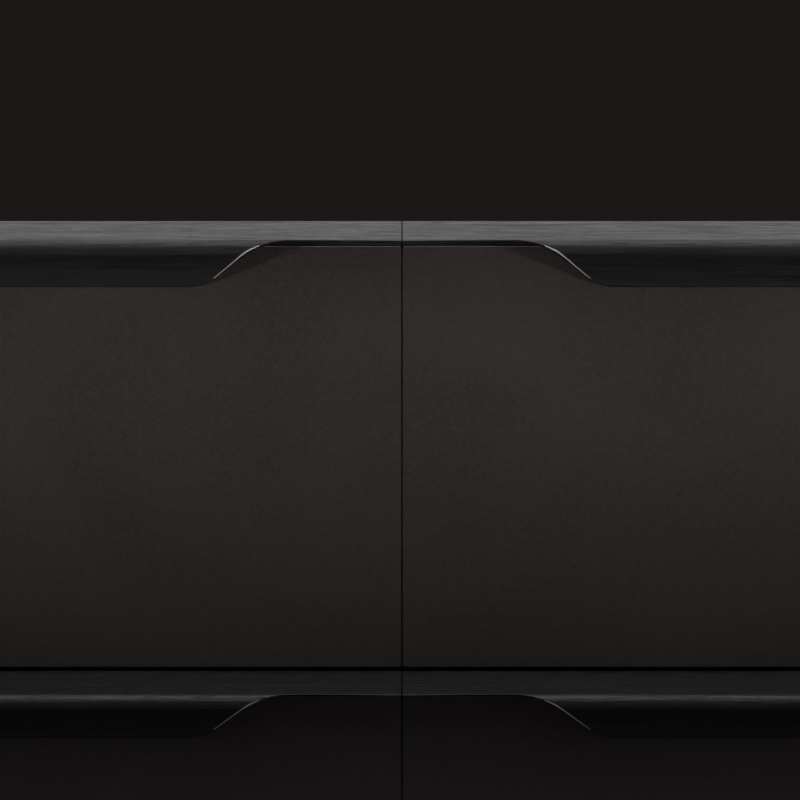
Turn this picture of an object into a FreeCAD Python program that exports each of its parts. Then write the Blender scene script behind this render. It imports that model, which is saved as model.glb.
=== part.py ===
"""Low dresser with six drawers in two columns and three rows.

The carcass is a mitred box of veneered panels on a recessed plinth. Each drawer front is a covered
board with a solid wood grip rail hooked over its top edge. The rail is a beak in section: a sloping
upper face, a rounded nose and an undercut. Beside the seam between the columns an S-shaped cut takes
the undercut away and a pocket is milled behind the blade that is left, so the two rails of a row
share one finger pull. The drawers run on concealed full-extension runners of three members.

Frame: X to the right, Y to the back, Z up, in millimetres. The drawers open towards -Y. The origin
is at floor level, in the middle of the overall width and depth.
"""

import FreeCAD, Part
import math
import os

V = FreeCAD.Vector

# Driving dimensions
WIDTH = 1560.0
CARCASS_DEPTH = 478.0
ROWS = 3
FRONT_HEIGHT = 250.0        # rail and board together
ROW_GAP = 2.0
SEAM = 0.5                  # gap between the two columns of fronts
PLINTH_HEIGHT = 56.0
BOARD = 22.0                # carcass panels and front boards
REVEAL = 2.0                # gap between the fronts' backs and the carcass
FRONT_ROUND = 1.2           # on the edges of the covered boards' faces
NOSE = 30.0                 # how far the rail's nose stands in front of the fronts

# Grip rail section, from the rail's top edge: A forwards from the front's face, B upwards
RAIL_HEIGHT = 37.0
RAIL_ON_BOARD = 14.0        # height of the rail above the board's top edge
NOSE_RADIUS = 5.0
NOSE_B = -15.8              # height of the nose's tip
UNDERCUT_START = math.radians(64)   # how far round the nose the undercut begins, below the tip
UNDERCUT_SAG = 0.9          # hollow of the undercut
LIP = 2.5                   # how far the rail's lower edge stands in front of the front
LIP_ROUND = 1.2

# Finger pull, along the rail from the seam
BLADE_B = -11.6             # lower edge of the blade at its crest
BLADE_DIP = 0.5             # the blade's lower edge is this much lower at the seam
CREST = 62.0                # from the seam to the blade's crest, where the S begins
S_SLOPE = math.radians(37)
S_UPPER_RADIUS = 46.0
S_LOWER_RADIUS = 32.0
S_OVERRUN = 0.3             # the S ends this much below the rail, so that it leaves it at an angle
BLADE_WALL = 3.8            # wood between the pocket and the sloping face
POCKET_BACK = 9.0           # how far the pocket runs back over the board
POCKET_LENGTH = 75.0
POCKET_ROUND = 4.0

# Drawer box, heights from the rail's top edge
BOX_LENGTH = 450.0
BOX_GAP = 5.0               # between a box side and the carcass
BOX_BOARD = 14.0
BOX_TOP = -52.0
BOX_LOW = -222.0            # lower edge of the box sides
BOX_ROUND = 1.5             # on the sides' top edges
BOX_BOTTOM = 8.0            # thickness of the drawer's bottom panel
BOTTOM_RECESS = 13.0        # the bottom panel's underside above the sides' lower edge
GROOVE_PLAY = 0.2
GROOVE_DEPTH = 6.0

# Runners
STEEL = 1.2
CLEAR = 0.6
MEMBER_LENGTH = 440.0
MIDDLE_LENGTH = 400.0
DRAWER_MEMBER_WIDTH = 25.0
DRAWER_MEMBER_HEIGHT = 11.5
CLIP_WIDTH = 31.5           # catches that lock the drawer to its runners
CLIP_LENGTH = 46.0
CLIP_HEIGHT = 11.0
CLIP_WALL = 8.0
LEVER_LENGTH = 28.0

# Carcass
BACK_BOARD = 8.0
BACK_INSET = 10.0
BACK_GROOVE = 8.0
PLINTH_BOARD = 18.0
PLINTH_RECESS = 50.0
PLINTH_LIFT = 5.0
PLINTH_CROSS_X = 200.0      # from the middle to the inner cross boards
FOOT_HEIGHT = 6.0
FOOT_RADIUS = 22.0
STEM_RADIUS = 5.0
STEM_LENGTH = 44.0
SOCKET_RADIUS = 14.0
SOCKET_LOW = 24.0
PAD_RADIUS = 4.0
PAD_SQUEEZE = 0.3           # the pads stay this much short of the closed fronts
DOWEL_RADIUS = 4.0
DOWEL_HALF = 14.0
DOWEL_Y = (-180.0, -60.0, 80.0, 210.0)

# Fasteners: radius of the hole over the fastener
PLAY = 0.1

# Planes that follow
HEIGHT = PLINTH_HEIGHT + ROWS * FRONT_HEIGHT + (ROWS - 1) * ROW_GAP
DEPTH = NOSE + BOARD + REVEAL + CARCASS_DEPTH
FACE_Y = -DEPTH / 2 + NOSE
FRONT_BACK_Y = FACE_Y + BOARD
CARCASS_Y = FRONT_BACK_Y + REVEAL
BACK_Y = DEPTH / 2
BACK_PANEL_Y = BACK_Y - BACK_INSET - BACK_BOARD
SIDE_X = WIDTH / 2
INNER_X = SIDE_X - BOARD
DIVIDER_X = BOARD / 2
PITCH = FRONT_HEIGHT + ROW_GAP
FRONT_X0 = SEAM / 2
BOX_X0 = DIVIDER_X + BOX_GAP
BOX_X1 = INNER_X - BOX_GAP
BOX_END_Y = FRONT_BACK_Y + BOX_LENGTH
BOTTOM_B = BOX_LOW + BOTTOM_RECESS
RAIL_SCREW_B = -26.0
RAIL_SCREW_X = (150.0, 300.0, 450.0, 600.0, 740.0)
CAM_B = (-80.0, -180.0)
CAM_SETBACK = 24.0
BACK_SCREW_B = (-80.0, -170.0)
RUNNER_SCREW_Y = (-175.0, -20.0, 200.0)
RUNNER_SCREW_W = -3.0
FLANGE_TOP = 10.0
WEB_LOW = -17.0
FOOT_X = (-680.0, 0.0, 680.0)
FOOT_Y = (-140.0, 190.0)


# Small builders

def box(x0, x1, y0, y1, z0, z1):
    return Part.makeBox(x1 - x0, y1 - y0, z1 - z0, V(x0, y0, z0))


def rod(start, direction, radius, length):
    return Part.makeCylinder(radius, length, V(*start), V(*direction))


def prism(points, along):
    """A straight-sided outline, swept along a vector."""
    wire = Part.makePolygon([V(*p) for p in points] + [V(*points[0])])
    return Part.Face(wire).extrude(V(*along))


def cut_all(solid, tools):
    return solid.cut(Part.makeCompound(tools)) if tools else solid


def edges_where(solid, test):
    """Edges whose two ends and middle all pass the test."""
    found = []
    for edge in solid.Edges:
        middle = edge.valueAt((edge.FirstParameter + edge.LastParameter) / 2)
        points = [vertex.Point for vertex in edge.Vertexes] + [middle]
        if all(test(p) for p in points):
            found.append(edge)
    return found


def near(a, b):
    return abs(a - b) < 1e-4


def countersunk(tip, direction, radius, length, play=0.0):
    """A screw with a cone head, from its head's face at tip along direction, or its hole with play."""
    shank = rod(tip, direction, radius + play, length)
    head = Part.makeCone(2 * radius + play, radius + play, radius, V(*tip), V(*direction))
    return shank.fuse(head).removeSplitter()


def save(name, solids):
    """Writes one node as parts/NAME.step and stops if a solid is open or inside out."""
    solids = solids if isinstance(solids, list) else [solids]
    pieces = [piece for solid in solids for piece in solid.Solids]
    for piece in pieces:
        if not piece.isValid() or piece.Volume <= 0:
            raise ValueError(name + " has a bad solid")
    shape = pieces[0] if len(pieces) == 1 else Part.makeCompound(pieces)
    shape.exportStep("parts/" + name + ".step")
    print(name, len(pieces), "solids", round(shape.Volume / 1000), "cm3")


# Grip rail: section points are (A, B); the row's top edge is at B = 0

def section_point(a, b, x=0.0):
    return V(x, FACE_Y - a, b)


def rail_section():
    """The rail's closed outline, as a wire at X = 0."""
    centre_a = NOSE - NOSE_RADIUS
    reach = math.hypot(centre_a, NOSE_B)
    slope = math.acos(NOSE_RADIUS / reach) - math.atan2(centre_a, -NOSE_B)
    upper = (centre_a + NOSE_RADIUS * math.sin(slope), NOSE_B + NOSE_RADIUS * math.cos(slope))
    tip = (NOSE, NOSE_B)
    lower = (
        centre_a + NOSE_RADIUS * math.cos(UNDERCUT_START),
        NOSE_B - NOSE_RADIUS * math.sin(UNDERCUT_START),
    )
    lip_top = (LIP, -RAIL_HEIGHT + LIP_ROUND)
    chord = (lip_top[0] - lower[0], lip_top[1] - lower[1])
    length = math.hypot(*chord)
    hollow = (
        (lower[0] + lip_top[0]) / 2 + UNDERCUT_SAG * chord[1] / length,
        (lower[1] + lip_top[1]) / 2 - UNDERCUT_SAG * chord[0] / length,
    )
    lip_low = (LIP - LIP_ROUND, -RAIL_HEIGHT)
    lip_middle = (
        LIP - LIP_ROUND + LIP_ROUND * math.cos(math.radians(45)),
        -RAIL_HEIGHT + LIP_ROUND - LIP_ROUND * math.sin(math.radians(45)),
    )
    p = section_point
    edges = [
        Part.LineSegment(p(-BOARD, 0), p(0, 0)),
        Part.LineSegment(p(0, 0), p(*upper)),
        Part.Arc(p(*upper), p(*tip), p(*lower)),
        Part.Arc(p(*lower), p(*hollow), p(*lip_top)),
        Part.Arc(p(*lip_top), p(*lip_middle), p(*lip_low)),
        Part.LineSegment(p(*lip_low), p(0, -RAIL_HEIGHT)),
        Part.LineSegment(p(0, -RAIL_HEIGHT), p(0, -RAIL_ON_BOARD)),
        Part.LineSegment(p(0, -RAIL_ON_BOARD), p(-BOARD, -RAIL_ON_BOARD)),
        Part.LineSegment(p(-BOARD, -RAIL_ON_BOARD), p(-BOARD, 0)),
    ]
    return Part.Wire([edge.toShape() for edge in edges]), slope


def s_cut():
    """What the finger pull takes away in front of the front's face, seen from the front."""
    y = FACE_Y

    def p(x, b):
        return V(x, y, b)

    def on_arc(centre, radius, angle):
        return p(centre[0] + radius * math.sin(angle), centre[1] + radius * math.cos(angle))

    end_b = -RAIL_HEIGHT - S_OVERRUN
    turn = 1 - math.cos(S_SLOPE)
    fall = BLADE_B - end_b
    straight = (fall - (S_UPPER_RADIUS + S_LOWER_RADIUS) * turn) / math.sin(S_SLOPE)
    run = (S_UPPER_RADIUS + S_LOWER_RADIUS) * math.sin(S_SLOPE) + straight * math.cos(S_SLOPE)
    upper_centre = (CREST, BLADE_B - S_UPPER_RADIUS)
    lower_centre = (CREST + run, end_b + S_LOWER_RADIUS)
    crest_radius = (CREST ** 2 + BLADE_DIP ** 2) / (2 * BLADE_DIP)
    crest_centre = (CREST, BLADE_B - crest_radius)
    at_seam = -math.asin((CREST + 1) / crest_radius)
    start = on_arc(crest_centre, crest_radius, at_seam)
    upper_end = on_arc(upper_centre, S_UPPER_RADIUS, S_SLOPE)
    lower_start = on_arc(lower_centre, -S_LOWER_RADIUS, S_SLOPE)
    low = end_b - 30
    edges = [
        Part.Arc(start, on_arc(crest_centre, crest_radius, at_seam / 2), p(CREST, BLADE_B)),
        Part.Arc(p(CREST, BLADE_B), on_arc(upper_centre, S_UPPER_RADIUS, S_SLOPE / 2), upper_end),
        Part.LineSegment(upper_end, lower_start),
        Part.Arc(lower_start, on_arc(lower_centre, -S_LOWER_RADIUS, S_SLOPE / 2), p(CREST + run, end_b)),
        Part.LineSegment(p(CREST + run, end_b), p(CREST + run, low)),
        Part.LineSegment(p(CREST + run, low), p(-1, low)),
        Part.LineSegment(p(-1, low), start),
    ]
    face = Part.Face(Part.Wire([edge.toShape() for edge in edges]))
    return face.extrude(V(0, -2 * NOSE, 0))


def pocket(slope):
    """The milled finger pocket behind the blade and over the board's top edge."""
    wall_b = -BLADE_WALL / math.cos(slope)
    mouth_a = (wall_b - BLADE_B) / math.tan(slope)
    low = -RAIL_ON_BOARD - 6
    outline = [
        (-POCKET_BACK, low),
        (-POCKET_BACK, wall_b),
        (0, wall_b),
        (mouth_a, BLADE_B),
        (mouth_a, low),
    ]
    solid = prism([(-1, FACE_Y - a, b) for a, b in outline], (POCKET_LENGTH + 1, 0, 0))
    back_y, front_y = FACE_Y + POCKET_BACK, FACE_Y - mouth_a
    rounded = edges_where(solid, lambda q: near(q.y, back_y) and near(q.z, wall_b))
    rounded += edges_where(solid, lambda q: near(q.x, POCKET_LENGTH) and near(q.y, back_y))
    rounded += edges_where(solid, lambda q: near(q.x, POCKET_LENGTH) and near(q.y, front_y))
    return solid.makeFillet(POCKET_ROUND, rounded)


def rail_screws(play=0.0, extra=0.0):
    return [
        countersunk((x, FRONT_BACK_Y, RAIL_SCREW_B), (0, -1, 0), 2.0, BOARD + 12 + extra, play)
        for x in RAIL_SCREW_X
    ]


def grip_rail():
    wire, slope = rail_section()
    length = SIDE_X - FRONT_X0
    bar = Part.Face(wire).extrude(V(length, 0, 0))
    bar.translate(V(FRONT_X0, 0, 0))
    rail = bar.cut(s_cut()).cut(pocket(slope))
    return cut_all(rail, rail_screws(PLAY, 0.5))


# Drawer

def front_board():
    top = -RAIL_ON_BOARD
    board = box(FRONT_X0, SIDE_X, FACE_Y, FRONT_BACK_Y, -FRONT_HEIGHT, top)
    board = board.makeFillet(FRONT_ROUND, edges_where(board, lambda q: near(q.y, FACE_Y)))
    groove = box(BOX_X0 + BOX_BOARD - GROOVE_DEPTH, BOX_X1 - BOX_BOARD + GROOVE_DEPTH,
                 FRONT_BACK_Y - GROOVE_DEPTH, FRONT_BACK_Y + 1,
                 BOTTOM_B - GROOVE_PLAY / 2, BOTTOM_B + BOX_BOTTOM + GROOVE_PLAY / 2)
    return cut_all(board, [groove] + rail_screws(PLAY) + cam_bolts(PLAY, 0.5))


def side_middles():
    return (BOX_X0 + BOX_BOARD / 2, BOX_X1 - BOX_BOARD / 2)


def cam_bolts(play=0.0, extra=0.0):
    """Connecting bolts from the front board into the cams in the box sides."""
    start = FRONT_BACK_Y - 11 - extra
    bolts = []
    for x in side_middles():
        for b in CAM_B:
            bolts.append(rod((x, start, b), (0, 1, 0), 3.0 + play, 11 + CAM_SETBACK + 2 + 2 * extra))
    return bolts


def cams(play=0.0):
    """Round cams let into the inner faces of the box sides."""
    y = FRONT_BACK_Y + CAM_SETBACK
    found = []
    for x, inward in ((BOX_X0 + BOX_BOARD, -1), (BOX_X1 - BOX_BOARD, 1)):
        for b in CAM_B:
            found.append(rod((x, y, b), (inward, 0, 0), 7.5 + play, 11.0 + play))
    return found


def back_screws(play=0.0):
    y = BOX_END_Y - BOX_BOARD / 2
    found = []
    for x, inward in ((BOX_X0, 1), (BOX_X1, -1)):
        for b in BACK_SCREW_B:
            found.append(countersunk((x, y, b), (inward, 0, 0), 2.0, 40.0, play))
    return found


def box_side(outer_x, inward):
    x0, x1 = sorted((outer_x, outer_x + inward * BOX_BOARD))
    side = box(x0, x1, FRONT_BACK_Y, BOX_END_Y, BOX_LOW, BOX_TOP)
    top_edges = edges_where(side, lambda q: near(q.z, BOX_TOP) and (near(q.x, x0) or near(q.x, x1)))
    side = side.makeFillet(BOX_ROUND, top_edges)
    inner = outer_x + inward * BOX_BOARD
    g0, g1 = sorted((inner - inward * GROOVE_DEPTH, inner + inward))
    groove = box(g0, g1, FRONT_BACK_Y - 1, BOX_END_Y + 1,
                 BOTTOM_B - GROOVE_PLAY / 2, BOTTOM_B + BOX_BOTTOM + GROOVE_PLAY / 2)
    return cut_all(side, [groove] + cams(PLAY) + cam_bolts(PLAY, 0.5) + back_screws(PLAY))


def box_back():
    back = box(BOX_X0 + BOX_BOARD, BOX_X1 - BOX_BOARD, BOX_END_Y - BOX_BOARD, BOX_END_Y,
               BOTTOM_B + BOX_BOTTOM, BOX_TOP)
    return cut_all(back, back_screws(PLAY))


def box_bottom():
    hold = GROOVE_DEPTH - GROOVE_PLAY
    return box(BOX_X0 + BOX_BOARD - hold, BOX_X1 - BOX_BOARD + hold,
               FRONT_BACK_Y - hold, BOX_END_Y, BOTTOM_B, BOTTOM_B + BOX_BOTTOM)


# Runners: section points are (U, W), U from the carcass wall inwards, W up from the drawer's bottom

MEMBER_U0 = BOX_GAP + BOX_BOARD + 1.5
MEMBER_U1 = MEMBER_U0 + DRAWER_MEMBER_WIDTH


def hat(u0, u1, top, low, lip):
    """A channel that opens downwards, with its edges turned inwards."""
    t = STEEL
    return [
        (u0, low), (u0, top), (u1, top), (u1, low), (u1 - lip - t, low), (u1 - lip - t, low + t),
        (u1 - t, low + t), (u1 - t, top - t), (u0 + t, top - t), (u0 + t, low + t),
        (u0 + lip + t, low + t), (u0 + lip + t, low),
    ]


def runner_member(outline, wall_x, inward, y, length):
    points = [(wall_x + inward * u, y, BOTTOM_B + w) for u, w in outline]
    return prism(points, (0, length, 0))


def walls():
    """The carcass walls on each side of a column, with the way into the column."""
    return ((DIVIDER_X, 1), (INNER_X, -1))


def drawer_members():
    outline = hat(MEMBER_U0, MEMBER_U1, 0.0, -DRAWER_MEMBER_HEIGHT, 3.0)
    return [runner_member(outline, x, s, FRONT_BACK_Y + 1, MEMBER_LENGTH) for x, s in walls()]


def middle_members():
    inset = STEEL + CLEAR
    outline = hat(MEMBER_U0 + inset, MEMBER_U1 - inset, -inset,
                  -DRAWER_MEMBER_HEIGHT + inset, 3.0)
    return [runner_member(outline, x, s, CARCASS_Y + 3, MIDDLE_LENGTH) for x, s in walls()]


def carcass_member_outline():
    """Wall flange, web under the box side, and a T-shaped rail inside the middle member."""
    head_inset = 2 * (STEEL + CLEAR)
    middle_u = (MEMBER_U0 + MEMBER_U1) / 2
    head_top = -head_inset
    head_low = head_top - 1.5
    web_top = WEB_LOW + 1.5
    neck = 4.0
    return [
        (0, FLANGE_TOP), (1.5, FLANGE_TOP), (1.5, web_top), (middle_u - neck, web_top),
        (middle_u - neck, head_low), (MEMBER_U0 + head_inset, head_low),
        (MEMBER_U0 + head_inset, head_top), (MEMBER_U1 - head_inset, head_top),
        (MEMBER_U1 - head_inset, head_low), (middle_u + neck, head_low),
        (middle_u + neck, WEB_LOW), (0, WEB_LOW),
    ]


def carcass_members():
    outline = carcass_member_outline()
    members = [runner_member(outline, x, s, CARCASS_Y + 3, MEMBER_LENGTH) for x, s in walls()]
    return [cut_all(member, runner_screws(PLAY)) for member in members]


def runner_screws(play=0.0):
    """Pan-head screws from a runner's flange into the wall, or their holes with play."""
    found = []
    for x, inward in walls():
        for y in RUNNER_SCREW_Y:
            z = BOTTOM_B + RUNNER_SCREW_W
            shank = rod((x + inward * 1.5, y, z), (-inward, 0, 0), 2.0 + play, 11.5 + play)
            head = rod((x + inward * 1.5, y, z), (inward, 0, 0), 4.0, 2.0)
            found.append(shank if play else shank.fuse(head).removeSplitter())
    return found


def front_clips():
    """Catches under the bottom panel that lock the drawer to its runners, each with its release lever."""
    y0 = FRONT_BACK_Y + 1
    found = []
    for x, inward in walls():
        near_u = MEMBER_U1 + 0.5
        x0, x1 = sorted((x + inward * near_u, x + inward * (near_u + CLIP_WIDTH)))
        low = BOTTOM_B - CLIP_HEIGHT
        housing = box(x0, x1, y0, y0 + CLIP_LENGTH, low, BOTTOM_B)
        slot_end = y0 + 2 + LEVER_LENGTH
        slot = box(x0 + CLIP_WALL, x1 - CLIP_WALL, y0 - 1, slot_end, low - 4, BOTTOM_B - 4)
        lever = box(x0 + CLIP_WALL + 1, x1 - CLIP_WALL - 1, y0 + 2, slot_end, low + 1, BOTTOM_B - 6)
        found.append(housing.cut(slot).fuse(lever).removeSplitter())
    return found


def fittings():
    holes = Part.makeCompound(cam_bolts(0.4, 0.5))
    locked = [cam.cut(holes) for cam in cams()]
    return (drawer_members() + front_clips() + locked + cam_bolts() + back_screws()
            + rail_screws())


# Carcass

def per_row(builder):
    """What builder makes for the right-hand column, at every row and in both columns."""
    found = []
    for row in range(ROWS):
        for solid in builder():
            moved = solid.translated(V(0, 0, HEIGHT - row * PITCH))
            found += [moved, mirrored(moved)]
    return found


def mirrored(solid):
    return solid.mirror(V(0, 0, 0), V(1, 0, 0))


def dowels(play=0.0):
    """Beech dowels that join the divider and the sides to the panels above and below them."""
    radius, half = DOWEL_RADIUS + play, DOWEL_HALF + play
    found = []
    for y in DOWEL_Y:
        for z in (PLINTH_HEIGHT + BOARD, HEIGHT - BOARD):
            found.append(rod((0, y, z - half), (0, 0, 1), radius, 2 * half))
        for x in (-INNER_X, INNER_X):
            found.append(rod((x - half, y, PLINTH_HEIGHT + BOARD / 2), (1, 0, 0), radius, 2 * half))
    return found


def back_panel_screws(play=0.0):
    """Screws through the back panel into the divider."""
    y = BACK_PANEL_Y + BACK_BOARD
    return [
        countersunk((0, y, z), (0, -1, 0), 1.75, 28.0, play)
        for z in (PLINTH_HEIGHT + 90, HEIGHT / 2, HEIGHT - 90)
    ]


def back_groove():
    y0, y1 = BACK_PANEL_Y - GROOVE_PLAY / 2, BACK_PANEL_Y + BACK_BOARD + GROOVE_PLAY / 2
    return box(-INNER_X - BACK_GROOVE, INNER_X + BACK_GROOVE, y0, y1,
               PLINTH_HEIGHT + BOARD - BACK_GROOVE, HEIGHT - BOARD + BACK_GROOVE)


def top_panel():
    low = HEIGHT - BOARD
    outline = [(-SIDE_X, HEIGHT), (SIDE_X, HEIGHT), (INNER_X, low), (-INNER_X, low)]
    panel = prism([(x, CARCASS_Y, z) for x, z in outline], (0, CARCASS_DEPTH, 0))
    return cut_all(panel, [back_groove()] + dowels(PLAY))


def side_panel(sign):
    top = HEIGHT
    outline = [(SIDE_X, PLINTH_HEIGHT), (SIDE_X, top), (INNER_X, top - BOARD), (INNER_X, PLINTH_HEIGHT)]
    panel = prism([(sign * x, CARCASS_Y, z) for x, z in outline], (0, CARCASS_DEPTH, 0))
    return cut_all(panel, [back_groove()] + dowels(PLAY) + per_row(lambda: runner_screws(PLAY)))


def bottom_panel():
    panel = box(-INNER_X, INNER_X, CARCASS_Y, BACK_Y, PLINTH_HEIGHT, PLINTH_HEIGHT + BOARD)
    return cut_all(panel, [back_groove()] + dowels(PLAY))


def centre_divider():
    panel = box(-DIVIDER_X, DIVIDER_X, CARCASS_Y, BACK_PANEL_Y, PLINTH_HEIGHT + BOARD, HEIGHT - BOARD)
    tools = dowels(PLAY) + back_panel_screws(PLAY) + per_row(lambda: runner_screws(PLAY))
    return cut_all(panel, tools)


def back_panel():
    hold = BACK_GROOVE - GROOVE_PLAY
    panel = box(-INNER_X - hold, INNER_X + hold, BACK_PANEL_Y, BACK_PANEL_Y + BACK_BOARD,
                PLINTH_HEIGHT + BOARD - hold, HEIGHT - BOARD + hold)
    return cut_all(panel, back_panel_screws(PLAY))


def plinth_frame():
    x1 = SIDE_X - PLINTH_RECESS
    y0 = FACE_Y + PLINTH_RECESS
    y1 = BACK_Y - PLINTH_RECESS / 2
    t = PLINTH_BOARD
    boards = [box(-x1, x1, y0, y0 + t, PLINTH_LIFT, PLINTH_HEIGHT),
              box(-x1, x1, y1 - t, y1, PLINTH_LIFT, PLINTH_HEIGHT)]
    for x in (-x1, -PLINTH_CROSS_X - t / 2, PLINTH_CROSS_X - t / 2, x1 - t):
        boards.append(box(x, x + t, y0 + t, y1 - t, PLINTH_LIFT, PLINTH_HEIGHT))
    return boards


def levelling_feet():
    """Six screw feet, each in a socket under the bottom panel."""
    found = []
    for x in FOOT_X:
        for y in FOOT_Y:
            foot = rod((x, y, 0), (0, 0, 1), FOOT_RADIUS, FOOT_HEIGHT)
            foot = foot.makeFillet(1.5, [e for e in foot.Edges if e.Length > 100 and e.CenterOfMass.z > 1])
            stem = rod((x, y, FOOT_HEIGHT - 1), (0, 0, 1), STEM_RADIUS, STEM_LENGTH)
            found.append(foot.fuse(stem).removeSplitter())
            socket = rod((x, y, SOCKET_LOW), (0, 0, 1), SOCKET_RADIUS, PLINTH_HEIGHT - SOCKET_LOW)
            hole = rod((x, y, SOCKET_LOW - 1), (0, 0, 1), STEM_RADIUS + PLAY, STEM_LENGTH - 14)
            found.append(socket.cut(hole))
    return found


def bumper_pads():
    """Soft discs on the carcass's front edges, which the closed fronts rest against."""
    def pads():
        return [rod((x, CARCASS_Y, b), (0, -1, 0), PAD_RADIUS, REVEAL - PAD_SQUEEZE)
                for x in (DIVIDER_X / 2, INNER_X + DIVIDER_X) for b in (-60.0, -200.0)]
    return per_row(pads)


# Assembly

ROW_NAMES = ("top", "middle", "bottom")


def drawer_nodes():
    """The parts of one drawer of the right-hand column, with the row's top edge at Z = 0."""
    return {
        "front_board": [front_board()],
        "grip_rail": [grip_rail()],
        "inner_side": [box_side(BOX_X0, 1)],
        "outer_side": [box_side(BOX_X1, -1)],
        "back": [box_back()],
        "bottom": [box_bottom()],
        "fittings": fittings(),
        "runner_middle": middle_members(),
    }


def save_drawers():
    nodes = drawer_nodes()
    for row, row_name in enumerate(ROW_NAMES):
        shift = V(0, 0, HEIGHT - row * PITCH)
        for part_name, solids in nodes.items():
            right = [solid.translated(shift) for solid in solids]
            save(row_name + "_right_" + part_name, right)
            save(row_name + "_left_" + part_name, [mirrored(solid) for solid in right])


def save_carcass():
    save("top_panel", top_panel())
    save("bottom_panel", bottom_panel())
    save("left_side_panel", side_panel(-1))
    save("right_side_panel", side_panel(1))
    save("centre_divider", centre_divider())
    save("back_panel", back_panel())
    save("plinth_frame", plinth_frame())
    save("levelling_feet", levelling_feet())
    save("carcass_runners", per_row(carcass_members))
    save("carcass_screws", per_row(runner_screws) + back_panel_screws())
    save("carcass_dowels", dowels())
    save("bumper_pads", bumper_pads())


def main():
    os.makedirs("parts", exist_ok=True)
    save_carcass()
    save_drawers()
    print("overall", WIDTH, DEPTH, HEIGHT)


main()
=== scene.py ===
"""Dresser with drawers: finishes, detailed fronts and grip rails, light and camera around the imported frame.

Lengths are in metres, in the frame of the model: X to the right, Y to the back, Z up.
"""

import math

import bpy
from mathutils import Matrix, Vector


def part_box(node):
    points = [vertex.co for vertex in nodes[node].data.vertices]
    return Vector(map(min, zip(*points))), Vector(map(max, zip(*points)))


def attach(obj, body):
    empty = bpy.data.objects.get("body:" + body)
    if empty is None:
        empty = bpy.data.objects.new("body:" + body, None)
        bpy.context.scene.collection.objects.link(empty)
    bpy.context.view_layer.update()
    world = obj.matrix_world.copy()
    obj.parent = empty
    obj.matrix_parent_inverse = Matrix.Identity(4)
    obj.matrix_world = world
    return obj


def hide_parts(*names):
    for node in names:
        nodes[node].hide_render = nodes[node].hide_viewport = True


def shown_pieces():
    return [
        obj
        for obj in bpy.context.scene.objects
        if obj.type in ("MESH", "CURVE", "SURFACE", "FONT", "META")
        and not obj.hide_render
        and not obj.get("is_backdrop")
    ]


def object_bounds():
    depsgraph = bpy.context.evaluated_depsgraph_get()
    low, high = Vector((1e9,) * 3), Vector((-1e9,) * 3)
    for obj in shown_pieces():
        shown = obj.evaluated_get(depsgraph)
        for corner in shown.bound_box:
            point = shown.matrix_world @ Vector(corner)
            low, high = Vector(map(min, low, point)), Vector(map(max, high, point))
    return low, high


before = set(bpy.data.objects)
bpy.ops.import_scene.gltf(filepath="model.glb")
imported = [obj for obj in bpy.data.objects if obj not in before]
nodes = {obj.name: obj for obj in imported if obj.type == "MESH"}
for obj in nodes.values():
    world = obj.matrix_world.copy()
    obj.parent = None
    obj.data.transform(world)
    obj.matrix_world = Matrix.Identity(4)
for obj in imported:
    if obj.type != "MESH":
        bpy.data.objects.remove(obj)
cad_low, cad_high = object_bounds()

DRAWERS = [(row, side) for row in ("top", "middle", "bottom") for side in ("left", "right")]
MM = 0.001

# Planes of the top right-hand drawer, which every other drawer repeats
BOARD_LOW, BOARD_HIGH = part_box("top_right_front_board")
RAIL_LOW, RAIL_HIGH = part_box("top_right_grip_rail")
FACE_Y = BOARD_LOW.y
NOSE_OUT = FACE_Y - RAIL_LOW.y

# Camera: straight on, the seam a little right of the middle, the rail's top edge in the upper part
CAMERA_DISTANCE = 2.9
VIEW_WIDTH = 0.448
TOP_ABOVE_CENTRE = 0.1002
SEAM_RIGHT_OF_CENTRE = 0.0011
SENSOR = 36.0

# Grip rail section and finger pull, as in the frame
NOSE_RADIUS = 5.0 * MM
NOSE_DROP = 15.8 * MM
UNDERCUT_START = math.radians(64)
UNDERCUT_SAG = 0.9 * MM
LIP = 2.5 * MM
END_ROUND = 0.3 * MM
BLADE_DROP = 11.6 * MM
BLADE_DIP = 0.5 * MM
CREST = 62.0 * MM
S_SLOPE = math.radians(37)
S_UPPER_RADIUS = 46.0 * MM
S_LOWER_RADIUS = 32.0 * MM
S_OVERRUN = 0.3 * MM
BLADE_WALL = 3.8 * MM
POCKET_BACK = 9.0 * MM
POCKET_LENGTH = 75.0 * MM
POCKET_ROUND = 4.0 * MM

# How finely the rail's section and length are divided
TOP_DEPTHS = (1.0, 0.5)             # shares of the rail's depth, from its back
TOP_EDGE = 0.5 * MM                 # last point of the top face, behind the front's face
SLOPE_DROPS = (0.2, 2.7, 5.4)       # mm below the top
EVEN_FROM = 8.0 * MM                # below this drop the front's points are evenly spaced
FRONT_ROWS = 56
NEAR_STATIONS = (4, 10, 18, 26, 34, 42, 48, 54, 58, 61)   # mm from the seam, before the S
FAR_STATIONS = (140, 220, 320, 440, 560, 680)             # mm from the seam, after the S
S_STEP = 0.9 * MM
S_STEPS = 72
POCKET_END_STEP = 0.01 * MM         # length of the step from the pocketed to the solid section
POCKET_END_CLEAR = 0.1 * MM         # no other station lies nearer behind that step

# Broken edge along the finger pull: drop of the cut, height of the break, how round it is
EDGE_BREAKS = ((12.1, 0.35, 1.0), (14.5, 0.35, 0.4), (16.0, 0.7, 0.1), (18.0, 1.05, 0.1), (20.0, 1.0, 0.1),
               (26.0, 0.7, 0.1), (32.0, 0.5, 0.3), (37.0, 1.2, 1.0))
BREAK_STEPS = 6
# Drops of the cut between which the bevel along the S takes the pale colour of the painted highlight.
HIGHLIGHT_FROM_DROP = 14.6 * MM
HIGHLIGHT_TO_DROP = 32.0 * MM

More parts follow.
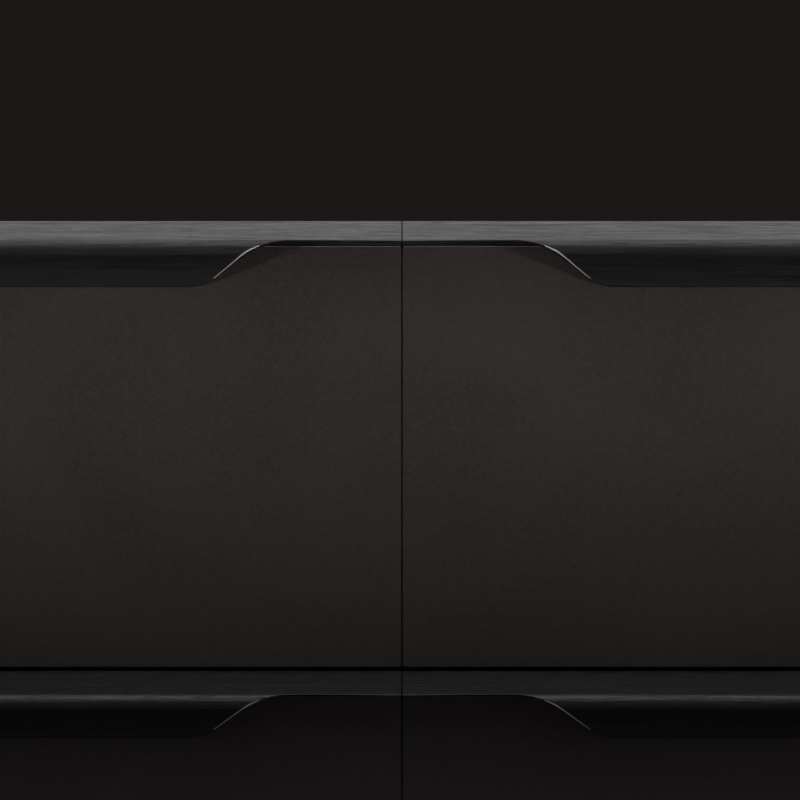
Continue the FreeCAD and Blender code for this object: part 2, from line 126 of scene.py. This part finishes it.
# Front covering
COVER_ROUND = 0.7 * MM
COVER_CORNER = 1.8 * MM
COVER_HEM = 14.0 * MM
COVER_THICK = 0.4 * MM
COVER_FACE_RINGS = (26.0 * MM, 9.0 * MM)
COVER_SINK = 0.04 * MM              # how far the face sinks where its round edge starts
COVER_EDGE_SINK = 0.06 * MM
COVER_BACK_EDGE = 1.0 * MM
COVER_BACK_BREAK = 0.3 * MM
COVER_HEM_EDGE = 0.3 * MM
LINING_STEP = 0.2 * MM


# Node trees

class Tree:
    """A material's node tree, with short calls for the nodes that the finishes use."""

    def __init__(self, name):
        self.material = bpy.data.materials.new(name)
        self.material.use_nodes = True
        self.nodes = self.material.node_tree.nodes
        self.links = self.material.node_tree.links
        self.shader = self.nodes["Principled BSDF"]
        self.place = self.nodes.new("ShaderNodeTexCoord").outputs["Object"]

    def put(self, socket, value):
        if isinstance(value, bpy.types.NodeSocket):
            self.links.new(value, socket)
        else:
            socket.default_value = value

    def stretch(self, scale, axis=0, shift=(0.0, 0.0, 0.0)):
        """Object coordinates, scaled by the first number along the axis and by the others across it."""
        scales = list(scale[1:])
        scales.insert(axis, scale[0])
        mapping = self.nodes.new("ShaderNodeMapping")
        self.put(mapping.inputs["Vector"], self.place)
        mapping.inputs["Scale"].default_value = scales
        mapping.inputs["Location"].default_value = shift
        return mapping.outputs["Vector"]

    def evenly(self, scale, shift=(0.0, 0.0, 0.0)):
        """Object coordinates, scaled alike in every direction."""
        return self.stretch((scale, scale, scale), shift=shift)

    def noise(self, vector, detail=2.0, rough=0.5, distortion=0.0):
        node = self.nodes.new("ShaderNodeTexNoise")
        self.put(node.inputs["Vector"], vector)
        node.inputs["Scale"].default_value = 1.0
        node.inputs["Detail"].default_value = detail
        node.inputs["Roughness"].default_value = rough
        node.inputs["Distortion"].default_value = distortion
        return node.outputs["Fac"]

    def cells(self, vector, scale):
        node = self.nodes.new("ShaderNodeTexVoronoi")
        self.put(node.inputs["Vector"], vector)
        node.inputs["Scale"].default_value = scale
        return node.outputs["Distance"]

    def ramp(self, value, low, high, out_low=0.0, out_high=1.0):
        node = self.nodes.new("ShaderNodeMapRange")
        node.interpolation_type = "SMOOTHSTEP"
        self.put(node.inputs["Value"], value)
        ends = {"From Min": low, "From Max": high, "To Min": out_low, "To Max": out_high}
        for name, number in ends.items():
            node.inputs[name].default_value = number
        return node.outputs["Result"]

    def combine(self, first, second, operation="ADD"):
        node = self.nodes.new("ShaderNodeMath")
        node.operation = operation
        self.put(node.inputs[0], first)
        self.put(node.inputs[1], second)
        return node.outputs[0]

    def mix(self, factor, first, second):
        node = self.nodes.new("ShaderNodeMix")
        node.data_type = "RGBA"
        self.put(node.inputs["Factor"], factor)
        self.put(node.inputs["A"], first if not isinstance(first, tuple) else (*first, 1.0))
        self.put(node.inputs["B"], second if not isinstance(second, tuple) else (*second, 1.0))
        return node.outputs["Result"]

    def bump(self, height, distance, strength, under=None):
        node = self.nodes.new("ShaderNodeBump")
        node.inputs["Strength"].default_value = strength
        node.inputs["Distance"].default_value = distance
        self.put(node.inputs["Height"], height)
        if under is not None:
            self.put(node.inputs["Normal"], under)
        return node.outputs["Normal"]

    def finish(self, colour, roughness, normal=None, **constants):
        self.put(self.shader.inputs["Base Color"], colour)
        self.put(self.shader.inputs["Roughness"], roughness)
        if normal is not None:
            self.put(self.shader.inputs["Normal"], normal)
        for name, number in constants.items():
            self.shader.inputs[name.replace("_", " ")].default_value = number
        return self.material


def stained_oak(name, axis, seed):
    """Black-stained open-pore oak, its grain along the axis."""
    t = Tree(name)
    drift = t.noise(t.stretch((1.3, 5.0, 5.0), axis, (seed, 0, 0)), 2.0)
    figure = t.noise(t.stretch((1.6, 55.0, 55.0), axis, (0, seed, 0)), 4.0, 0.6, 0.4)
    fibre = t.noise(t.stretch((22.0, 520.0, 520.0), axis, (0, 0, seed)), 3.0, 0.6, 0.25)
    pores = t.noise(t.stretch((95.0, 2600.0, 2600.0), axis, (seed, seed, 0)), 2.0, 0.5)
    pore_mask = t.ramp(pores, 0.57, 0.70)
    tone = t.mix(t.ramp(figure, 0.30, 0.70), (0.0105, 0.0098, 0.0105), (0.0250, 0.0240, 0.0252))
    tone = t.mix(t.ramp(drift, 0.35, 0.70, 0.0, 0.35), tone, (0.018, 0.016, 0.016))
    tone = t.mix(t.ramp(fibre, 0.35, 0.70, 0.0, 0.55), tone, (0.040, 0.038, 0.040))
    tone = t.mix(t.combine(pore_mask, 0.8, "MULTIPLY"), tone, (0.005, 0.0045, 0.005))
    rough = t.combine(t.ramp(fibre, 0.30, 0.72, 0.52, 0.33), t.combine(pore_mask, 0.2, "MULTIPLY"))
    coarse = t.bump(fibre, 0.34 * MM, 0.8)
    normal = t.bump(t.combine(1.0, pore_mask, "SUBTRACT"), 0.12 * MM, 0.9, coarse)
    return t.finish(tone, rough, normal, IOR=1.5)


def painted_highlight_bevel():
    """Painted highlight: a pale, near-white colour on the bevel along the S of the finger pull, in place of
    the light its edge catches.
    """
    t = Tree("painted_highlight_bevel")
    fibre = t.noise(t.stretch((60.0, 700.0, 700.0)), 3.0, 0.6)
    tone = t.mix(t.ramp(fibre, 0.3, 0.7), (0.660, 0.652, 0.650), (0.760, 0.752, 0.748))
    return t.finish(tone, t.ramp(fibre, 0.3, 0.7, 0.30, 0.22), t.bump(fibre, 0.02 * MM, 0.3))


def plain_oak(name, axis, seed):
    """Oiled oak for the drawer boxes."""
    t = Tree(name)
    figure = t.noise(t.stretch((1.5, 34.0, 34.0), axis, (0, seed, 0)), 5.0, 0.55, 0.9)
    fibre = t.noise(t.stretch((20.0, 620.0, 620.0), axis, (0, 0, seed)), 3.0, 0.6)
    pores = t.noise(t.stretch((90.0, 2400.0, 2400.0), axis, (seed, 0, 0)), 2.0, 0.5)
    pore_mask = t.ramp(pores, 0.60, 0.72)
    tone = t.mix(t.ramp(figure, 0.30, 0.68), (0.33, 0.215, 0.120), (0.47, 0.335, 0.205))
    tone = t.mix(t.ramp(fibre, 0.35, 0.70, 0.0, 0.45), tone, (0.54, 0.40, 0.26))
    tone = t.mix(t.combine(pore_mask, 0.6, "MULTIPLY"), tone, (0.17, 0.10, 0.055))
    rough = t.ramp(fibre, 0.30, 0.72, 0.62, 0.50)
    normal = t.bump(t.combine(fibre, pore_mask, "SUBTRACT"), 0.08 * MM, 0.45)
    return t.finish(tone, rough, normal)


def leather():
    """Matte, fine-grained brown-grey leather, with a painted highlight: its upward-facing edges are coloured
    pale blue-grey.
    """
    t = Tree("front_leather")
    mottle = t.noise(t.evenly(9.0), 4.0, 0.6, 0.6)
    pebble = t.cells(t.evenly(1.0), 1000.0)
    creases = t.noise(t.evenly(420.0), 5.0, 0.65, 0.8)
    specks = t.ramp(t.noise(t.evenly(640.0, (3, 1, 2)), 1.0), 0.74, 0.80)
    tone = t.mix(t.ramp(mottle, 0.30, 0.72), (0.0365, 0.0290, 0.0264), (0.0465, 0.0380, 0.0350))
    tone = t.mix(t.ramp(creases, 0.35, 0.70, 0.0, 0.50), tone, (0.0620, 0.0520, 0.0496))
    tone = t.mix(t.combine(specks, 0.50, "MULTIPLY"), tone, (0.100, 0.088, 0.083))
    # Painted highlight: faces whose normal points up are coloured pale blue-grey in place of the light the
    # edge would catch. One such face is the front's top edge, seen in the slot under the blade.
    painted_highlight_facing = t.nodes.new("ShaderNodeSeparateXYZ")
    t.put(painted_highlight_facing.inputs[0], t.nodes.new("ShaderNodeNewGeometry").outputs["Normal"])
    tone = t.mix(t.ramp(painted_highlight_facing.outputs["Z"], 0.25, 0.75), tone, (0.300, 0.295, 0.340))
    rough = t.ramp(creases, 0.30, 0.75, 0.66, 0.54)
    grain = t.bump(pebble, 0.09 * MM, 0.40)
    normal = t.bump(creases, 0.20 * MM, 0.50, grain)
    return t.finish(tone, rough, normal, Specular_IOR_Level=0.25)


def lining():
    """Grey-brown laminate of the drawer bottoms and of the fronts' inner faces."""
    t = Tree("inner_laminate")
    weave = t.noise(t.evenly(700.0), 3.0, 0.6)
    cloud = t.noise(t.evenly(14.0), 3.0)
    tone = t.mix(t.ramp(cloud, 0.3, 0.7), (0.118, 0.104, 0.094), (0.150, 0.134, 0.122))
    tone = t.mix(t.ramp(weave, 0.40, 0.70, 0.0, 0.4), tone, (0.20, 0.182, 0.168))
    normal = t.bump(weave, 0.05 * MM, 0.4)
    return t.finish(tone, t.ramp(weave, 0.3, 0.7, 0.66, 0.52), normal)


def steel():
    """Zinc-plated steel with fine drawn lines along the runners."""
    t = Tree("zinc_steel")
    drawn = t.noise(t.stretch((1800.0, 14.0, 1800.0)), 3.0, 0.6)
    cloud = t.noise(t.stretch((30.0, 12.0, 30.0)), 3.0, 0.6)
    tone = t.mix(t.ramp(cloud, 0.3, 0.7), (0.50, 0.51, 0.52), (0.64, 0.65, 0.66))
    rough = t.combine(t.ramp(drawn, 0.3, 0.7, 0.24, 0.38), t.ramp(cloud, 0.3, 0.7, -0.03, 0.05))
    return t.finish(tone, rough, t.bump(drawn, 0.02 * MM, 0.3), Metallic=1.0)


def lacquer(name, dark, light, rough_low, rough_high, scale=900.0):
    """A plain moulded or lacquered finish with a fine texture and faint clouding."""
    t = Tree(name)
    fine = t.noise(t.evenly(scale), 3.0, 0.6)
    cloud = t.noise(t.evenly(18.0), 3.0)
    tone = t.mix(t.ramp(cloud, 0.3, 0.7), dark, light)
    rough = t.ramp(fine, 0.3, 0.7, rough_low, rough_high)
    return t.finish(tone, rough, t.bump(fine, 0.04 * MM, 0.35))


ALONG_X, ALONG_Y, ALONG_Z = range(3)

OAK_ACROSS = stained_oak("stained_oak_across", ALONG_X, 1.7)
OAK_UPRIGHT = stained_oak("stained_oak_upright", ALONG_Z, 4.1)
BACKING = stained_oak("back_veneer", ALONG_Z, 7.3)
BOX_OAK_LONG = plain_oak("box_oak_long", ALONG_Y, 2.3)
BOX_OAK_CROSS = plain_oak("box_oak_cross", ALONG_X, 6.2)
BEECH = plain_oak("beech", ALONG_X, 9.4)
BEVEL_PAINTED_HIGHLIGHT = painted_highlight_bevel()
LEATHER = leather()
LINING = lining()
STEEL = steel()
PLINTH = lacquer("plinth_lacquer", (0.010, 0.010, 0.010), (0.015, 0.015, 0.015), 0.38, 0.50)
PLASTIC = lacquer("foot_plastic", (0.018, 0.018, 0.018), (0.024, 0.024, 0.024), 0.42, 0.56, 1400.0)
RUBBER = lacquer("pad_rubber", (0.16, 0.16, 0.155), (0.20, 0.20, 0.195), 0.45, 0.60)


# Meshes

def add_object(name, verts, faces, materials, sharp_degrees=35.0):
    mesh = bpy.data.meshes.new(name)
    mesh.from_pydata(verts, [], faces)
    mesh.validate()
    mesh.update()
    for polygon in mesh.polygons:
        polygon.use_smooth = True
    mesh.set_sharp_from_angle(angle=math.radians(sharp_degrees))
    for material in materials:
        mesh.materials.append(material)
    thing = bpy.data.objects.new(name, mesh)
    bpy.context.scene.collection.objects.link(thing)
    return thing


def loft(rings):
    """Faces between closed rings of equal length, with the first and last ring filled."""
    count = len(rings[0])
    verts = [point for ring in rings for point in ring]
    faces = []
    for i in range(len(rings) - 1):
        for j in range(count):
            k = (j + 1) % count
            faces.append((i * count + j, i * count + k, (i + 1) * count + k, (i + 1) * count + j))
    last = (len(rings) - 1) * count
    faces.append(tuple(reversed(range(count))))
    faces.append(tuple(last + j for j in range(count)))
    return verts, faces


# Grip rail. A section's points are (out, drop): out from the front's face, drop below the rail's top.

RAIL_HEIGHT = RAIL_HIGH.z - RAIL_LOW.z
BOARD_DROP = RAIL_HIGH.z - BOARD_HIGH.z
RAIL_BACK = FACE_Y - RAIL_HIGH.y
NOSE_MIDDLE = (NOSE_OUT - NOSE_RADIUS, NOSE_DROP)
SLOPE = math.acos(NOSE_RADIUS / math.hypot(*NOSE_MIDDLE)) - math.atan2(*NOSE_MIDDLE)
SLOPE_FOOT = NOSE_DROP - NOSE_RADIUS * math.cos(SLOPE)
UNDERCUT_TOP = (NOSE_MIDDLE[0] + NOSE_RADIUS * math.cos(UNDERCUT_START),
                NOSE_DROP + NOSE_RADIUS * math.sin(UNDERCUT_START))


def out_at(drop):
    """How far the rail's outer surface stands out at a drop below its top."""
    if drop <= SLOPE_FOOT:
        return drop / math.tan(SLOPE)
    if drop <= UNDERCUT_TOP[1]:
        return NOSE_MIDDLE[0] + math.sqrt(max(NOSE_RADIUS ** 2 - (drop - NOSE_DROP) ** 2, 0.0))
    rise = RAIL_HEIGHT - UNDERCUT_TOP[1]
    share = (drop - UNDERCUT_TOP[1]) / rise
    run = LIP - UNDERCUT_TOP[0]
    hollow = UNDERCUT_SAG * math.hypot(run, rise) / rise
    return UNDERCUT_TOP[0] + run * share - 4 * hollow * share * (1 - share)


def cut_drop(along):
    """How far below the rail's top the finger pull cuts it, at a distance from the seam."""
    end = RAIL_HEIGHT + S_OVERRUN
    turn = 1 - math.cos(S_SLOPE)
    upper_run = S_UPPER_RADIUS * math.sin(S_SLOPE)
    lower_run = S_LOWER_RADIUS * math.sin(S_SLOPE)
    straight_fall = end - BLADE_DROP - (S_UPPER_RADIUS + S_LOWER_RADIUS) * turn
    run = upper_run + lower_run + straight_fall / math.tan(S_SLOPE)
    past = along - CREST
    left = run - past
    if past <= 0:
        drop = BLADE_DROP + BLADE_DIP * (past / CREST) ** 2
    elif past <= upper_run:
        drop = BLADE_DROP + S_UPPER_RADIUS - math.sqrt(S_UPPER_RADIUS ** 2 - past ** 2)
    elif left <= 0:
        drop = end
    elif left <= lower_run:
        drop = end - S_LOWER_RADIUS + math.sqrt(S_LOWER_RADIUS ** 2 - left ** 2)
    else:
        drop = BLADE_DROP + S_UPPER_RADIUS * turn + (past - upper_run) * math.tan(S_SLOPE)
    return min(drop, RAIL_HEIGHT)


def between(first, second, share):
    return tuple(a + (b - a) * share for a, b in zip(first, second))


def edge_break(drop):
    """Height and roundness of the broken edge where the cut lies at this drop."""
    for low, high in zip(EDGE_BREAKS, EDGE_BREAKS[1:]):
        if drop <= high[0] * MM:
            share = max((drop / MM - low[0]) / (high[0] - low[0]), 0.0)
            size, roundness = between(low[1:], high[1:], share)
            return size * MM, roundness
    return EDGE_BREAKS[-1][1] * MM, EDGE_BREAKS[-1][2]


def rail_section(along, pocketed):
    """The rail's closed section at a distance from the seam. Every section has as many points."""
    end = cut_drop(along)
    arris, roundness = edge_break(end)
    top = [(RAIL_BACK * share, 0.0) for share in TOP_DEPTHS] + [(-TOP_EDGE, 0.0)]
    reach = end - arris - EVEN_FROM
    drops = [drop * MM for drop in SLOPE_DROPS]
    drops += [EVEN_FROM + reach * i / FRONT_ROWS for i in range(FRONT_ROWS + 1)]
    front = [(out_at(drop), drop) for drop in drops]
    corner = (out_at(end), end)
    behind = (corner[0] - arris * (0.55 + 0.45 * roundness), end)
    round_off = []
    for step in range(1, BREAK_STEPS + 1):
        share = step / BREAK_STEPS
        curved = between(between(front[-1], corner, share), between(corner, behind, share), share)
        round_off.append(between(between(front[-1], behind, share), curved, roundness))
    wall = BLADE_WALL / math.cos(SLOPE)
    mouth = (BLADE_DROP - wall) / math.tan(SLOPE)
    if pocketed:
        curve = [(-POCKET_BACK + POCKET_ROUND * (1 - math.sin(math.radians(a))),
                  wall + POCKET_ROUND * (1 - math.cos(math.radians(a)))) for a in (0, 30, 60, 90)]
        path = [(mouth, end), (mouth, BLADE_DROP), (mouth / 2, (BLADE_DROP + wall) / 2), (0.0, wall)]
        path += curve
    else:
        land = min(mouth, behind[0] * 0.8)
        path = [(land * share, end) for share in (1.0, 0.75, 0.5, 0.25, 0.0)]
        path += [(0.0, end + (BOARD_DROP - end) * share) for share in (0.33, 0.66, 1.0)]
    under = [(-POCKET_BACK, BOARD_DROP), (RAIL_BACK, BOARD_DROP)]
    return top + front + round_off + path + under


def inset(section, amount):
    """The section moved inwards, along the average of each point's two side normals."""
    moved = []
    for i, point in enumerate(section):
        before, after = section[i - 1], section[(i + 1) % len(section)]
        sides = []
        for a, b in ((before, point), (point, after)):
            length = math.hypot(b[0] - a[0], b[1] - a[1]) or 1.0
            sides.append(((a[1] - b[1]) / length, (b[0] - a[0]) / length))
        normal = (sides[0][0] + sides[1][0], sides[0][1] + sides[1][1])
        size = max(math.hypot(*normal), 0.7)
        moved.append((point[0] + normal[0] / size * amount, point[1] + normal[1] / size * amount))
    return moved


def rail_rings():
    """Rings of points along the right-hand rail of the top row, and which of them lie in the part of the S
    whose bevel carries the painted highlight.

    A station is the distance from the seam, how far the section is drawn in, and whether it has the pocket.
    """
    first, last = RAIL_LOW.x, RAIL_HIGH.x
    ends = [(0.0, END_ROUND), (END_ROUND * 0.3, END_ROUND * 0.3), (END_ROUND, 0.0)]
    stations = [(first + along, depth, True) for along, depth in ends]
    stations += [(x * MM, 0.0, True) for x in NEAR_STATIONS]
    fine = [CREST + i * S_STEP for i in range(S_STEPS)]
    stations += [(x, 0.0, True) for x in fine if x < POCKET_LENGTH]
    stations += [(POCKET_LENGTH, 0.0, True), (POCKET_LENGTH + POCKET_END_STEP, 0.0, False)]
    stations += [(x, 0.0, False) for x in fine if x > POCKET_LENGTH + POCKET_END_CLEAR]
    stations += [(x * MM, 0.0, False) for x in FAR_STATIONS]
    stations += [(last - along, depth, False) for along, depth in reversed(ends)]
    rings = []
    for along, depth, pocketed in stations:
        section = rail_section(along, pocketed)
        if depth:
            section = inset(section, depth)
        rings.append([(along, FACE_Y - out, RAIL_HIGH.z - drop) for out, drop in section])
    in_painted_highlight = [HIGHLIGHT_FROM_DROP < cut_drop(along) < HIGHLIGHT_TO_DROP for along, depth, pocketed in stations]
    return rings, in_painted_highlight


# Front cover: rings from the middle of the front, round the edges and on to the back

def rounded_rectangle(low, high, inward, corner, y):
    """A ring of points round a rectangle in the XZ plane, moved inwards, with rounded corners."""
    radius = max(corner - inward, 0.2 * MM)
    x0, x1 = low.x + inward + radius, high.x - inward - radius
    z0, z1 = low.z + inward + radius, high.z - inward - radius
    points = []
    for (x, z), start in (((x1, z1), 0), ((x0, z1), 90), ((x0, z0), 180), ((x1, z0), 270)):
        for step in range(5):
            angle = math.radians(start + step * 22.5)
            points.append((x + radius * math.cos(angle), y, z + radius * math.sin(angle)))
    return points


def cover_rings(low, high):
    """Rings of a covered board, and how many of them are leather.

    A depth is how far the ring lies in from the board's outline, and how far behind its face.
    """
    depths = [(inward, 0.0) for inward in COVER_FACE_RINGS] + [(COVER_ROUND * 2.4, COVER_SINK)]
    for step in range(6):
        angle = math.radians(step * 18)
        inward = COVER_ROUND * (1 - math.sin(angle))
        depths.append((inward, COVER_ROUND * (1 - math.cos(angle)) + COVER_EDGE_SINK))
    thick = high.y - low.y
    depths += [(0.0, thick - COVER_BACK_EDGE), (COVER_BACK_BREAK, thick - COVER_BACK_BREAK)]
    depths += [(COVER_BACK_EDGE, thick), (COVER_HEM - COVER_HEM_EDGE, thick)]
    depths += [(COVER_HEM, thick - COVER_THICK / 2)]
    leather_rings = len(depths)
    depths += [(COVER_HEM + LINING_STEP, thick - COVER_THICK), (COVER_HEM * 2, thick - COVER_THICK)]
    rings = [rounded_rectangle(low, high, inward, COVER_CORNER, low.y + y) for inward, y in depths]
    return rings, leather_rings


def mirrored(verts, faces):
    """The same mesh on the other side of the seam."""
    return [(-x, y, z) for x, y, z in verts], [tuple(reversed(face)) for face in faces]


def add_rail(row, side, verts, faces, highlight_faces):
    body = f"{row}_{side}"
    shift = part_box(body + "_grip_rail")[1].z - RAIL_HIGH.z
    if side == "left":
        verts, faces = mirrored(verts, faces)
    verts = [(x, y, z + shift) for x, y, z in verts]
    rail = add_object(body + "_rail", verts, faces, [OAK_ACROSS, BEVEL_PAINTED_HIGHLIGHT])
    # The bevel's faces in the S take the second material, the pale painted highlight.
    for index in highlight_faces:
        rail.data.polygons[index].material_index = 1
    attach(rail, body + "_drawer")
    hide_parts(body + "_grip_rail")


def add_cover(row, side):
    body = f"{row}_{side}"
    low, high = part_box(body + "_front_board")
    rings, leather_rings = cover_rings(low, high)
    verts, faces = loft(rings)
    cover = add_object(body + "_front", verts, faces, [LEATHER, LINING])
    count = len(rings[0])
    for polygon in cover.data.polygons:
        if min(polygon.vertices) >= (leather_rings - 1) * count:
            polygon.material_index = 1
    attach(cover, body + "_drawer")
    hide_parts(body + "_front_board")


rail_sections, painted_highlight_rings = rail_rings()
rail_verts, rail_faces = loft(rail_sections)
section_size = len(rail_sections[0])
break_start = len(TOP_DEPTHS) + 1 + len(SLOPE_DROPS) + FRONT_ROWS
# Faces of the bevel along the S that carry the painted highlight.
painted_highlight_faces = [ring * section_size + break_start + step for ring, inside in enumerate(painted_highlight_rings) if inside
           for step in range(BREAK_STEPS)]
for row_name, side_name in DRAWERS:
    add_rail(row_name, side_name, rail_verts, rail_faces, painted_highlight_faces)
    add_cover(row_name, side_name)


# Finishes of the parts that keep the frame's own shape

CARCASS_FINISHES = {
    "top_panel": OAK_ACROSS, "bottom_panel": OAK_ACROSS, "left_side_panel": OAK_UPRIGHT,
    "right_side_panel": OAK_UPRIGHT, "centre_divider": OAK_UPRIGHT, "back_panel": BACKING,
    "plinth_frame": PLINTH, "levelling_feet": PLASTIC, "carcass_runners": STEEL,
    "carcass_screws": STEEL, "carcass_dowels": BEECH, "bumper_pads": RUBBER,
}
DRAWER_FINISHES = {
    "inner_side": BOX_OAK_LONG, "outer_side": BOX_OAK_LONG, "back": BOX_OAK_CROSS, "bottom": LINING,
    "fittings": STEEL, "runner_middle": STEEL,
}


def paint(node, material):
    for slot in nodes[node].material_slots:
        slot.material = material


for node_name, finish in CARCASS_FINISHES.items():
    paint(node_name, finish)
for row_name, side_name in DRAWERS:
    for part_name, finish in DRAWER_FINISHES.items():
        paint(f"{row_name}_{side_name}_{part_name}", finish)


# Floor, surroundings, lights and camera

TOP = cad_high.z
FLOOR_HALF = 30.0
FLOOR_BOUNCE = (0.095, 0.0935, 0.0915)   # the floor's colour to every ray but the camera's
FLOOR_LIGHT = 2.4
FLOOR_LIGHT_ANGLE = 70.0            # degrees, for soft shadows
PALE_SURROUNDINGS = (0.60, 0.596, 0.588)
WALL_COLOUR = (0.0116, 0.0091, 0.0086)
WALL_HALF_WIDTH = 0.12              # as parts of a direction of length 1
WALL_HALF_HEIGHT = 0.12
AMBIENT_COLOUR = (1.0, 0.99, 0.985)
AMBIENT = 0.05
BACK_COLOUR = (1.0, 0.955, 0.985)
KEY_OUT = 1.25                      # how far in front of the fronts the two pairs of strips stand
KEY_SIDE = 1.1
LOWER_HEIGHT = 0.25


def add_floor():
    """A plain floor, pale where it is seen and darker in the light that it throws back."""
    mesh = bpy.data.meshes.new("floor")
    corners = [(x * FLOOR_HALF, y * FLOOR_HALF, 0) for x, y in ((-1, -1), (1, -1), (1, 1), (-1, 1))]
    mesh.from_pydata(corners, [], [(0, 1, 2, 3)])
    t = Tree("floor_paint")
    cloud = t.noise(t.evenly(0.8), 4.0)
    tone = t.mix(t.ramp(cloud, 0.3, 0.7), (0.66, 0.655, 0.645), (0.70, 0.695, 0.685))
    seen = t.nodes.new("ShaderNodeLightPath").outputs["Is Camera Ray"]
    tone = t.mix(seen, FLOOR_BOUNCE, tone)
    mesh.materials.append(t.finish(tone, 0.85, Specular_IOR_Level=0.1))
    floor = bpy.data.objects.new("floor", mesh)
    bpy.context.scene.collection.objects.link(floor)
    floor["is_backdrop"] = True
    return floor


def add_surroundings():
    """What the camera sees beyond the floor, pale but for a dark wall straight behind the dresser.

    Other rays get only a faint, even light from all round.
    """
    world = bpy.data.worlds.new("studio")
    bpy.context.scene.world = world
    world.use_nodes = True
    tree, links = world.node_tree, world.node_tree.links
    out = tree.nodes["World Output"]
    direction = tree.nodes.new("ShaderNodeTexCoord").outputs["Generated"]
    split = tree.nodes.new("ShaderNodeSeparateXYZ")
    links.new(direction, split.inputs[0])

    def calculate(value, limit, operation):
        node = tree.nodes.new("ShaderNodeMath")
        node.operation = operation
        links.new(value, node.inputs[0])
        if isinstance(limit, float):
            node.inputs[1].default_value = limit
        else:
            links.new(limit, node.inputs[1])
        return node.outputs[0]

    def background(colour, strength):
        node = tree.nodes.new("ShaderNodeBackground")
        node.inputs["Color"].default_value = (*colour, 1.0)
        node.inputs["Strength"].default_value = strength
        return node.outputs[0]

    def choose(factor, first, second):
        node = tree.nodes.new("ShaderNodeMixShader")
        links.new(factor, node.inputs[0])
        links.new(first, node.inputs[1])
        links.new(second, node.inputs[2])
        return node.outputs[0]

    sideways = calculate(split.outputs["X"], 0.0, "ABSOLUTE")
    rise = calculate(split.outputs["Z"], 0.0, "ABSOLUTE")
    ahead = calculate(calculate(sideways, WALL_HALF_WIDTH, "LESS_THAN"),
                      calculate(rise, WALL_HALF_HEIGHT, "LESS_THAN"), "MULTIPLY")
    ahead = calculate(ahead, calculate(split.outputs["Y"], 0.0, "GREATER_THAN"), "MULTIPLY")
    seen = choose(ahead, background(PALE_SURROUNDINGS, 1.0), background(WALL_COLOUR, 1.0))
    seen_by_camera = tree.nodes.new("ShaderNodeLightPath").outputs["Is Camera Ray"]
    ambient = background(AMBIENT_COLOUR, AMBIENT)
    links.new(choose(seen_by_camera, ambient, seen), out.inputs["Surface"])


def add_light(name, place, target, width, height, power, colour=(1.0, 1.0, 1.0), spread=180.0,
              diffuse=True, glossy=True):
    """An area light at place, facing target: sizes in metres, power in watts, spread in degrees."""
    light = bpy.data.lights.new(name, "AREA")
    light.shape = "RECTANGLE"
    light.size, light.size_y = width, height
    light.energy = power
    light.color = colour
    light.spread = math.radians(spread)
    thing = bpy.data.objects.new(name, light)
    thing.location = place
    thing.rotation_mode = "QUATERNION"
    thing.rotation_quaternion = (Vector(target) - Vector(place)).to_track_quat("-Z", "Y")
    thing.visible_camera = False
    thing.visible_diffuse = diffuse
    thing.visible_glossy = glossy
    bpy.context.scene.collection.objects.link(thing)
    return thing


def add_floor_light():
    """An even, very soft light from straight above, so the floor is as pale far away as it is near."""
    light = bpy.data.lights.new("floor_wash", "SUN")
    light.energy = FLOOR_LIGHT
    light.angle = math.radians(FLOOR_LIGHT_ANGLE)
    thing = bpy.data.objects.new("floor_wash", light)
    thing.visible_camera = False
    bpy.context.scene.collection.objects.link(thing)
    return thing


floor = add_floor()
add_surroundings()
add_light("back_soft", (0.0, cad_high.y + 1.1, TOP + 1.45), (0.0, FACE_Y, TOP), 3.6, 1.2, 14.5,
          BACK_COLOUR)
add_light("overhead", (0.0, -0.4, 4.2), (0.0, -0.4, 0.0), 5.0, 5.0, 50.0)
add_light("overhead_sheen", (0.0, -1.9, 3.7), (0.0, FACE_Y, TOP), 5.0, 5.0, 80.0, diffuse=False)
floor_light = add_floor_light()
floor_only = bpy.data.collections.new("floor_only")
floor_only.objects.link(floor)
floor_light.light_linking.receiver_collection = floor_only
dresser_only = bpy.data.collections.new("dresser_only")
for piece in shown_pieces():
    dresser_only.objects.link(piece)
for hand, word in ((-1, "left"), (1, "right")):
    x, y = hand * KEY_SIDE, FACE_Y - KEY_OUT
    key = add_light(f"key_{word}", (x, y, TOP - 0.09), (0.0, FACE_Y, TOP - 0.04), 2.4, 0.12, 0.62,
                    spread=16.0, glossy=False)
    lower = add_light(f"lower_{word}", (x, y, LOWER_HEIGHT), (0.0, FACE_Y, LOWER_HEIGHT), 2.4, 0.22, 0.34,
                      spread=12.0, glossy=False)
    side = add_light(f"side_soft_{word}", (hand * 2.4, 0.6, 0.9), (hand * 0.78, 0.0, 0.45), 1.2, 1.2, 60.0)
    for light in (key, lower, side):
        light.light_linking.receiver_collection = dresser_only

camera_data = bpy.data.cameras.new("camera")
camera_data.sensor_width = SENSOR
camera_data.lens = SENSOR * CAMERA_DISTANCE / VIEW_WIDTH
camera_data.clip_start, camera_data.clip_end = 0.05, 100.0
camera = bpy.data.objects.new("camera", camera_data)
camera.location = (-SEAM_RIGHT_OF_CENTRE, FACE_Y - CAMERA_DISTANCE, TOP - TOP_ABOVE_CENTRE)
camera.rotation_euler = (math.radians(90), 0.0, 0.0)
bpy.context.scene.collection.objects.link(camera)
bpy.context.scene.camera = camera
bpy.context.scene.view_settings.view_transform = "Standard"
